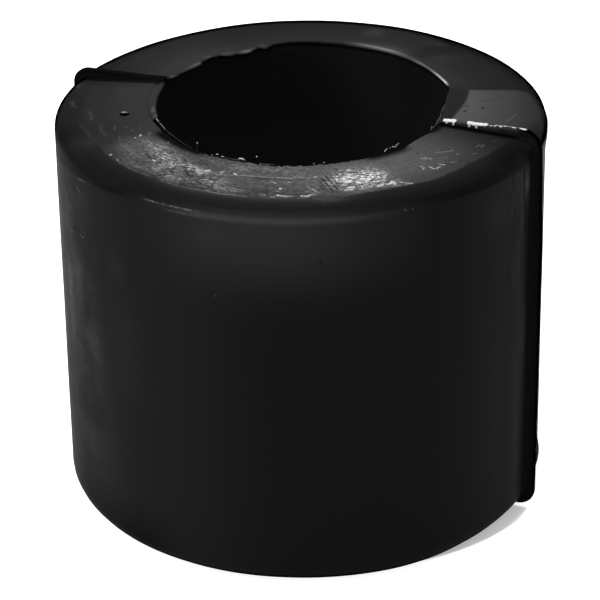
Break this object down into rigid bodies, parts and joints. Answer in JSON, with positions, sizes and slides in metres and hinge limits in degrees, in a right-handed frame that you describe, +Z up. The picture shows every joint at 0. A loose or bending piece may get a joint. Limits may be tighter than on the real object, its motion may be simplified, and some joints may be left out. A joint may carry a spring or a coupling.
{
  "type": "moulded rubber bush",
  "caption": "Thick cylindrical black rubber bush with a plain through bore, rounded rims, a raised moulding seam on two sides and a small gate pip.",
  "frame": {"origin": "centre of the bore at its lower mouth, in the lower end face", "axes": "+Z up the bore's axis, out of the upper mouth; +X in the mould's parting plane, so the seam bead stands at +X and -X"},
  "size_m": [0.0832, 0.08, 0.0689],
  "materials": {
    "rubber": "satin black moulded rubber, scuffed grey on the upper end face"
  },
  "bodies": {
    "root": {"bush": "rubber"}
  },
  "joints": []
}
